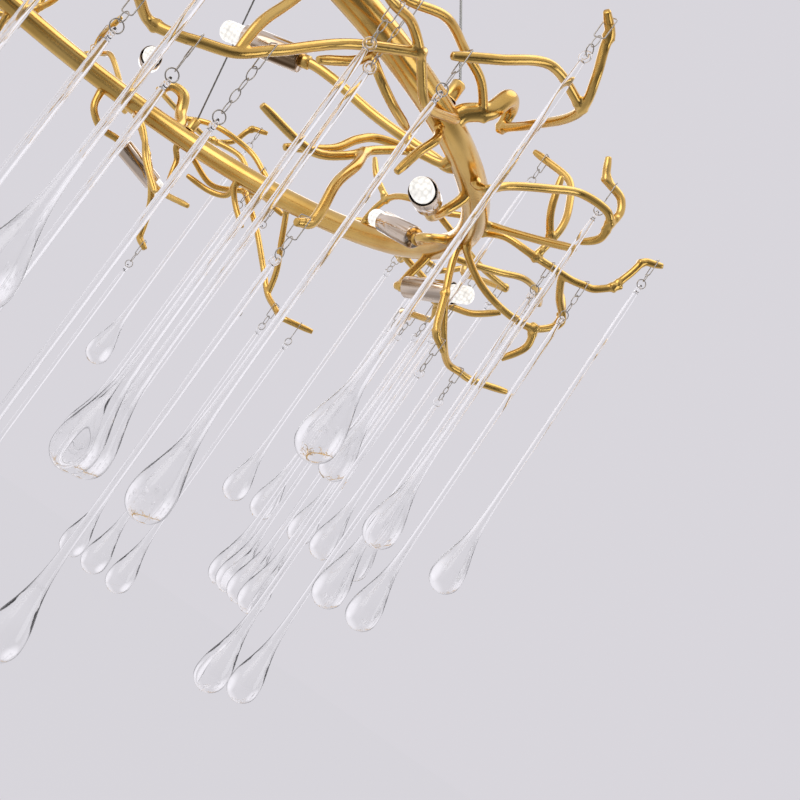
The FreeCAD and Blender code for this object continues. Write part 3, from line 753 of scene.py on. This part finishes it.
def make_branches(gold):
    """The twigs, each node's run together into one skin. The thick ones have no lumps."""
    for letter, turn in SECTORS.items():
        for node, names in NODES.items():
            shape = Shape()
            for k, name in enumerate(names):
                path = chain_path(name, turn)
                shape.tube(path, twig_radius(name, k + FIRST_SEED))
                if name not in THICK:
                    solder(shape, path, k)
            ending = node + "_" + letter
            shape.make("twigs_" + ending, "frame", gold, "satin_gold", ["branches_" + ending], brazed=True)


def make_ring(gold):
    """The ring's tube."""
    shape = Shape()
    path = [place(360.0 * k / RING_STEPS, 0, 0) for k in range(RING_STEPS)]
    shape.tube(path, TUBE_RADIUS - TUBE_SKIN, sides=40, close=True)
    shape.make("ring", "frame", gold, "satin_gold", ["ring_tube"])


# Lamps


def cup_frame(lamp, turn):
    """The base of a lamp's cup and the way the cup faces."""
    _, points, (facing, slope) = lamp
    bearing, out, up = points[-1]
    level = radial(bearing + turn + facing)
    axis = level * math.cos(math.radians(slope)) + UP * math.sin(math.radians(slope))
    return place(bearing + turn, out, up), axis


def arm_path(lamp, turn):
    """The smooth middle line of a lamp's arm, ending square under the cup."""
    (root, around), points, _ = lamp
    base, axis = cup_frame(lamp, turn)
    route = root_points(root + turn, around)
    route += [place(bearing + turn, out, up) for bearing, out, up in points[:-1]]
    return smooth_path(route + [base - axis * (ARM_STRAIGHT * MM), base])


def arm_radius(at, _):
    """The radius of an arm at a distance along it."""
    return ARM_RADIUS * (1 + ARM_SWELLING * math.exp(-at / ARM_FADE))


def cup_painted_reflection(along, angle):
    """How bright the painted reflection on a cup's plating is: painted reflection streaks along it, and a
    painted highlight band by its rim and its base.
    """
    level = CUP_PAINTED_LEVEL
    for around, length, seed, gain in CUP_PAINTED_STREAKS:
        place_in_noise = (around * math.cos(angle), around * math.sin(angle), along * length + seed)
        level += gain * noise.noise(Vector(place_in_noise))
    # Painted highlight: a lighter band by the rim and by the base
    in_painted_highlight = along > CUP_LENGTH - CUP_RIM_HIGHLIGHT_WIDTH or along < CUP_BASE_HIGHLIGHT_WIDTH
    return level + (CUP_PAINTED_HIGHLIGHT_GAIN if in_painted_highlight else 0.0)


def bulb_lit_else_painted_shade(along, _):
    """1 for the part of a bulb that stands out of its cup, which glows; 0 inside the cup, which is painted
    dark as shade.
    """
    return 1.0 if along > CUP_LENGTH else 0.0


def make_lamps(gold, mirror, ceramic, lit):
    """The arms with their collars, the cups, the holders in them and the bulbs."""
    arms, cups, holders, bulbs = Shape(), Shape(), Shape(), Shape()
    for turn in SECTORS.values():
        for lamp in LAMPS:
            base, axis = cup_frame(lamp, turn)
            arms.tube(arm_path(lamp, turn), arm_radius)
            arms.turned(COLLAR_PROFILE, base, axis, sides=24)
            cups.turned(CUP_PROFILE, base, axis, sides=48, painted_light=cup_painted_reflection)
            holders.turned(HOLDER_PROFILE, base, axis)
            bulbs.turned(BULB_PROFILE, base, axis, painted_light=bulb_lit_else_painted_shade)
    arms.make("lamp_arms_dressed", "frame", gold, "satin_gold", ["lamp_arms"])
    cups.make("lamp_cups_dressed", "frame", mirror, "mirror_metal", ["lamp_cups"])
    holders.make("lamp_holders_dressed", "frame", ceramic, "white_ceramic", ["lamp_holders"])
    bulbs.make("lamp_bulbs_dressed", "frame", lit, "frosted_glass", ["lamp_bulbs"])


# Drops and their wires

Hang = namedtuple("Hang", "body spot chain way axle")


def hang_points(turn):
    """How each drop of a sector hangs: its body, its bail's place on the branch, the branch's chain
    and way there, and the middle of the wire axle."""
    result = []
    for name, spots in SPOTS.items():
        for chain, run, share in spots:
            low, high = run_ends(chain, run, turn)
            spot = low.lerp(high, share)
            axle = Vector((spot.x, spot.y, (DROPS[name][0] - RING_DROP) * MM))
            result.append(Hang(name, spot, chain, high - low, axle))
    return result


def swing_lines(hangs):
    """The level line of each body's hinge: through its first two eyes, or along a lone drop's branch."""
    result = {}
    for name in DROPS:
        own = [hang for hang in hangs if hang.body == name]
        line = own[1].axle - own[0].axle if len(own) > 1 else own[0].way
        result[name] = Vector((line.x, line.y, 0)).normalized()
    return result


def loop(centre, side, radius, steps=LOOP_STEPS, stretch=1.0):
    """A round or tall loop in the upright plane of a level direction."""
    return [centre + (side * math.cos(angle) + UP * (stretch * math.sin(angle))) * (radius * MM)
            for angle in circle_angles(steps)]


def rounded_frame(top, drop, half):
    """An upright rectangular loop of wire with round corners, from the middle of its top bar."""
    side = half.normalized()
    wide = half.length
    corner = BAIL_CORNER * MM
    middle = top - UP * (drop / 2)
    path = []
    for sx, sz, start in ((1, 1, 0), (-1, 1, 90), (-1, -1, 180), (1, -1, 270)):
        centre = middle + side * (sx * (wide - corner)) + UP * (sz * (drop / 2 - corner))
        for k in range(BAIL_CORNER_STEPS):
            angle = math.radians(start + 90 / (BAIL_CORNER_STEPS - 1) * k)
            path.append(centre + (side * math.cos(angle) + UP * math.sin(angle)) * corner)
    return path


def drop_profile():
    """The drop's outline: smooth through its knots, with fewer points along the stem."""
    path = smooth_path([Vector((at, radius, 0)) * MM for at, radius in DROP_KNOTS])
    outline = [(point.x / MM, min(point.y / MM, DROP_RADIUS)) for point in path]
    outline = [point for i, point in enumerate(outline) if point[0] > STEM_LENGTH or i % STEM_THINNING == 0]
    return outline + [(DROP_LENGTH - 0.06, 0.0)]


def rib_depth(at):
    """How deep a drop's ribs are, as a share of its radius."""
    return RIB_DEPTH * max(0.0, min(1.0, (RIB_END - at) / RIB_FADE))


def make_drops(glass):
    """The glass drops with their eyes, one piece for the drops of each body."""
    profile = drop_profile()
    for letter, turn in SECTORS.items():
        hangs = hang_points(turn)
        for name, line in swing_lines(hangs).items():
            shape = Shape()
            for axle in (hang.axle for hang in hangs if hang.body == name):
                eye = loop(axle - UP * (EYE_WIRE_DROP * MM), line.cross(UP), EYE_RADIUS, EYE_STEPS)
                shape.tube(eye, EYE_GLASS_RADIUS, sides=16, close=True)
                shape.turned(profile, axle, -UP, sides=40, ribs=rib_depth)
            body = name + "_" + letter
            shape.make("glass_" + body, body, glass, "clear_glass", ["drop_" + body])


def add_wires(shape, hang, side):
    """The wires of one drop: a bail round the branch, a chain of links, and a ring in the eye."""
    level = Vector((hang.way.x, hang.way.y, 0))
    steepness = abs(hang.way.z) / level.length
    across = level.normalized().cross(UP)
    radius = PENDANT_RADIUS if hang.chain == "pendant" else TWIG_RADIUS
    rise = radius * math.hypot(1, steepness) + WIRE_RADIUS * (1 + steepness)
    half = across * ((radius + WIRE_RADIUS + BAIL_GAP) * MM)
    bail = rounded_frame(hang.spot + UP * (rise * MM), (2 * rise + BAIL_DEPTH) * MM, half)
    shape.tube(bail, WIRE_RADIUS, sides=WIRE_SIDES, close=True)
    foot = hang.axle.z / MM
    gap = hang.spot.z / MM - rise - BAIL_DEPTH - foot
    ring = min(EYE_RING_RADIUS, gap / 2 - EYE_RING_GAP)
    shape.tube(loop(hang.axle + UP * (ring * MM), side, ring), WIRE_RADIUS, sides=WIRE_SIDES, close=True)
    rest = gap - 2 * ring
    count = max(1, round((rest + LINK_OVERLAP) / LINK_PITCH))
    reach = (rest + LINK_OVERLAP * (count + 1)) / count / 2
    narrow = min(LINK_RADIUS, reach)
    for k in range(count):
        height = foot + 2 * ring - LINK_OVERLAP + reach + k * (2 * reach - LINK_OVERLAP)
        centre = Vector((hang.axle.x, hang.axle.y, height * MM))
        link = loop(centre, side if k % 2 else across, narrow, stretch=reach / narrow)
        shape.tube(link, LINK_WIRE_RADIUS, sides=WIRE_SIDES, close=True)


def make_wires(wire):
    """The bails, links and rings that hold the drops."""
    for letter, turn in SECTORS.items():
        shape = Shape()
        hangs = hang_points(turn)
        lines = swing_lines(hangs)
        for hang in hangs:
            add_wires(shape, hang, lines[hang.body])
        shape.make("wires_" + letter, "frame", wire, "bright_wire", ["hanging_wires_" + letter])


# Suspension and canopy


def make_suspension(gold, cable):
    """The anchor bosses, the taut cables and the grippers with their nuts in the canopy."""
    anchors, cables, grippers = Shape(), Shape(), Shape()
    for turn in SECTORS.values():
        bearing = ANCHOR_BEARING + turn
        foot = place(bearing, 0, TUBE_RADIUS - ANCHOR_SINK)
        low = foot + UP * (ANCHOR_HEIGHT * MM)
        high = radial(bearing) * (CABLE_TOP_RADIUS * MM) - UP * ((CANOPY_HEIGHT + GRIPPER_LENGTH) * MM)
        anchors.turned(ANCHOR_PROFILE, foot, UP)
        cables.tube([low, low.lerp(high, 0.5), high], CABLE_RADIUS, sides=10)
        grippers.turned(GRIPPER_PROFILE, high, UP)
    anchors.make("anchors_dressed", "frame", gold, "satin_gold", ["cable_anchors"])
    cables.make("cables_dressed", "frame", cable, "steel_cable", ["suspension_cables"])
    grippers.make("grippers_dressed", "frame", gold, "satin_gold", ["cable_grippers"])


def make_canopy(gold):
    """The round ceiling cap, open towards the ceiling."""
    shape = Shape()
    shape.turned(CANOPY_PROFILE, Vector((0, 0, 0)), UP, sides=128)
    shape.make("canopy_dressed", "frame", gold, "satin_gold", ["canopy"])


def dress_kept_nodes(gold, steel, plastic):
    """Materials for the CAD nodes that stay."""
    for node, material in (("ceiling_bracket", steel), ("canopy_screws", gold), ("terminal_block", plastic)):
        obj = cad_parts[node]
        obj.data.materials.clear()
        obj.data.materials.append(material)


# Stage, in metres. The floor glows like the backdrop for the rays that see it, a little brighter to
# make up for the share that the lamps light.
BACKGROUND = (0.690, 0.672, 0.716)
FLOOR_SIZE = 40.0
FLOOR_HEIGHT = -2.3
FLOOR_COLOUR = (0.86, 0.85, 0.88)
FLOOR_GLOW = 0.86
FLOOR_LIFT = 0.04
AMBIENT = (0.80, 0.80, 0.84)
AMBIENT_STRENGTH = 0.55

# What the studio shows beside its plain backdrop: the way to it, its inner and outer angle, and how
# much brighter or darker than the backdrop metal mirrors it and glass bends it
STUDIO = [
    ((-0.80, -0.55, 0.30), 10, 44, 0.45, 0.0),
    ((0.45, 0.45, 0.90), 12, 46, 0.15, 0.3),
    ((0.35, -1.0, -0.05), 14, 50, -0.66, 0.0),
    ((0.1, -0.3, -1.0), 20, 62, -0.5, 0.0),
    ((1.0, -0.25, 0.0), 16, 48, -0.85, -0.85),
    ((-0.32, 1.0, -0.12), 5, 18, -0.5, 0.0),
    ((0.16, 1.0, 0.0), 3, 12, 0.5, 0.0),
    ((0.50, 1.0, -0.25), 6, 20, -0.5, 0.0),
    ((0.70, 0.72, 0.12), 5, 28, 0.3, 0.36),
    ((-0.72, 0.70, 0.12), 5, 26, 0.2, 0.4),
    ((-1.0, -0.1, 0.0), 8, 22, 0.0, -0.5),
]
DARKEST = 0.1

# Soft round lamps: name, place, size, power in watts and colour, aimed a little below the ring
LIGHTS = [
    ("key", (-1.6, -2.2, 0.9), 2.6, 22, (1.0, 0.98, 0.95)),
    ("top", (0.5, 0.3, 2.2), 2.6, 20, (1.0, 1.0, 1.0)),
    ("side", (2.6, -0.6, -0.2), 1.4, 7, (0.97, 0.98, 1.0)),
    ("back", (-0.6, 2.8, 0.4), 2.0, 12, (1.0, 1.0, 1.0)),
]
LIGHT_AIM = 60

# The camera stood low at the right, looked up a little and was rolled to the left. Its place is
# given from the ring's centre, in millimetres.
CAMERA_FROM_RING = (361.0, -999.5, -289.5)
CAMERA_PITCH = 8.21
CAMERA_ROLL = 34.59
CAMERA_LENS = 58.5
CAMERA_SENSOR = 36.0


def ray_kinds(nodes, links):
    """Three gates of 1 or 0: for camera rays with those that metal and glass send on, for those off
    metal and other shiny skins alone, and for those through glass alone."""
    path = nodes.new("ShaderNodeLightPath")
    glossy, through = path.outputs["Is Glossy Ray"], path.outputs["Is Transmission Ray"]
    seen = combined(nodes, links, "MAXIMUM", path.outputs["Is Camera Ray"], glossy, through)
    mirrored = combined(nodes, links, "MULTIPLY", glossy, combined(nodes, links, "SUBTRACT", 1.0, through))
    return seen, mirrored, through


def toward(nodes, links, rays, way, inner, outer):
    """1 for rays within the inner angle of a direction, falling to 0 at the outer one."""
    dot = nodes.new("ShaderNodeVectorMath")
    dot.operation = "DOT_PRODUCT"
    dot.inputs[1].default_value = Vector(way).normalized()
    links.new(rays, dot.inputs[0])
    share = nodes.new("ShaderNodeMapRange")
    share.interpolation_type = "SMOOTHSTEP"
    share.inputs["From Min"].default_value = math.cos(math.radians(outer))
    share.inputs["From Max"].default_value = math.cos(math.radians(inner))
    links.new(dot.outputs["Value"], share.inputs["Value"])
    return share.outputs["Result"]


def studio_level(nodes, links, rays):
    """The gate of the rays that see the studio, and how bright it is along them."""
    seen, mirrored, through = ray_kinds(nodes, links)
    level = 1.0
    for way, inner, outer, on_metal, in_glass in STUDIO:
        gain = combined(nodes, links, "ADD", combined(nodes, links, "MULTIPLY", mirrored, on_metal),
                        combined(nodes, links, "MULTIPLY", through, in_glass))
        lobe = toward(nodes, links, rays, way, inner, outer)
        level = combined(nodes, links, "ADD", level, combined(nodes, links, "MULTIPLY", lobe, gain))
    return seen, combined(nodes, links, "MAXIMUM", level, DARKEST)


def mixed(nodes, links, share, first, second, target):
    """Feeds an input with two shaders mixed."""
    mix = nodes.new("ShaderNodeMixShader")
    for source, entry in zip((share, first, second), mix.inputs):
        links.new(source, entry)
    links.new(mix.outputs["Shader"], target)


def floor_rays(nodes, links):
    """The directions from the ring's centre to the places on the floor."""
    away, straight = nodes.new("ShaderNodeVectorMath"), nodes.new("ShaderNodeVectorMath")
    away.operation = "SUBTRACT"
    away.inputs[1].default_value = (0, 0, -RING_DROP * MM)
    straight.operation = "NORMALIZE"
    links.new(nodes.new("ShaderNodeNewGeometry").outputs["Position"], away.inputs[0])
    links.new(away.outputs["Vector"], straight.inputs[0])
    return straight.outputs["Vector"]


def make_floor():
    """A pale floor that runs into the backdrop and takes the object's shadow."""
    mesh = bpy.data.meshes.new("floor")
    half = FLOOR_SIZE / 2
    corners = [(-half, -half), (half, -half), (half, half), (-half, half)]
    mesh.from_pydata([(x, y, FLOOR_HEIGHT) for x, y in corners], [], [(0, 1, 2, 3)])
    material, nodes, links, shader = new_material(
        "floor", {"Base Color": (*FLOOR_COLOUR, 1), "Roughness": 0.9, "Specular IOR Level": 0.0})
    seen, level = studio_level(nodes, links, floor_rays(nodes, links))
    glow = nodes.new("ShaderNodeEmission")
    glow.inputs["Color"].default_value = (*(value + FLOOR_LIFT for value in BACKGROUND), 1)
    links.new(level, glow.inputs["Strength"])
    mixed(nodes, links, combined(nodes, links, "MULTIPLY", seen, FLOOR_GLOW), shader.outputs["BSDF"],
          glow.outputs["Emission"], nodes["Material Output"].inputs["Surface"])
    mesh.materials.append(material)
    new_object("floor", mesh)


def make_world():
    """A pale studio. Camera rays see the plain backdrop, and metal and glass see it with its bright
    panels and its dim sides. All others meet an even light."""
    world = bpy.data.worlds.new("studio")
    world.use_nodes = True
    bpy.context.scene.world = world
    nodes, links = world.node_tree.nodes, world.node_tree.links
    nodes.clear()
    output = nodes.new("ShaderNodeOutputWorld")
    seen, level = studio_level(nodes, links, nodes.new("ShaderNodeTexCoord").outputs["Generated"])
    backdrop, light = (nodes.new("ShaderNodeBackground") for _ in range(2))
    backdrop.inputs["Color"].default_value = (*BACKGROUND, 1)
    links.new(level, backdrop.inputs["Strength"])
    light.inputs["Color"].default_value = (*AMBIENT, 1)
    light.inputs["Strength"].default_value = AMBIENT_STRENGTH
    mixed(nodes, links, seen, light.outputs["Background"], backdrop.outputs["Background"],
          output.inputs["Surface"])


def make_lights():
    """The lamps of the studio. Metal mirrors them, and glass doesn't show them behind itself."""
    target = Vector((0, 0, -(RING_DROP + LIGHT_AIM) * MM))
    for name, where, size, power, colour in LIGHTS:
        data = bpy.data.lights.new(name, "AREA")
        data.shape = "DISK"
        data.size = size
        data.energy = power
        data.color = colour
        obj = new_object(name, data)
        obj.location = where
        obj.rotation_euler = (target - Vector(where)).to_track_quat("-Z", "Y").to_euler()
        obj.visible_camera = False
        obj.visible_transmission = False


def make_camera():
    """The camera of the photograph."""
    data = bpy.data.cameras.new("camera")
    data.lens = CAMERA_LENS
    data.sensor_width = CAMERA_SENSOR
    pitch, roll = math.radians(CAMERA_PITCH), math.radians(CAMERA_ROLL)
    right = Vector((1, 0, 0))
    level_up = Vector((0, -math.sin(pitch), math.cos(pitch)))
    forward = Vector((0, math.cos(pitch), math.sin(pitch)))
    x_axis = right * math.cos(roll) + level_up * math.sin(roll)
    y_axis = level_up * math.cos(roll) - right * math.sin(roll)
    turn = Matrix((x_axis, y_axis, -forward)).transposed().to_4x4()
    where = (Vector(CAMERA_FROM_RING) - UP * RING_DROP) * MM
    camera = new_object("camera", data)
    camera.matrix_world = Matrix.Translation(where) @ turn
    bpy.context.scene.camera = camera


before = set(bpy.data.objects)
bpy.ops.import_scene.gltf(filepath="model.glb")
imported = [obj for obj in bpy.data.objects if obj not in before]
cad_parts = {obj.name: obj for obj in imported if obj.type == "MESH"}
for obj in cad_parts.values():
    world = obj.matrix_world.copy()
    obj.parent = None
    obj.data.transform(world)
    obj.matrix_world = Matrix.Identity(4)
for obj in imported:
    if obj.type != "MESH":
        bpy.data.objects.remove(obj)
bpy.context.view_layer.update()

gold, mirror, ceramic = gold_material(), mirror_material(), ceramic_material()
make_ring(gold)
make_branches(gold)
make_lamps(gold, mirror, ceramic, bulb_material())
make_drops(glass_material())
make_wires(wire_material())
make_suspension(gold, cable_material())
make_canopy(gold)
dress_kept_nodes(gold, steel_material(), plastic_material())
make_floor()
make_world()
make_lights()
make_camera()
bpy.context.scene.view_settings.view_transform = "Standard"
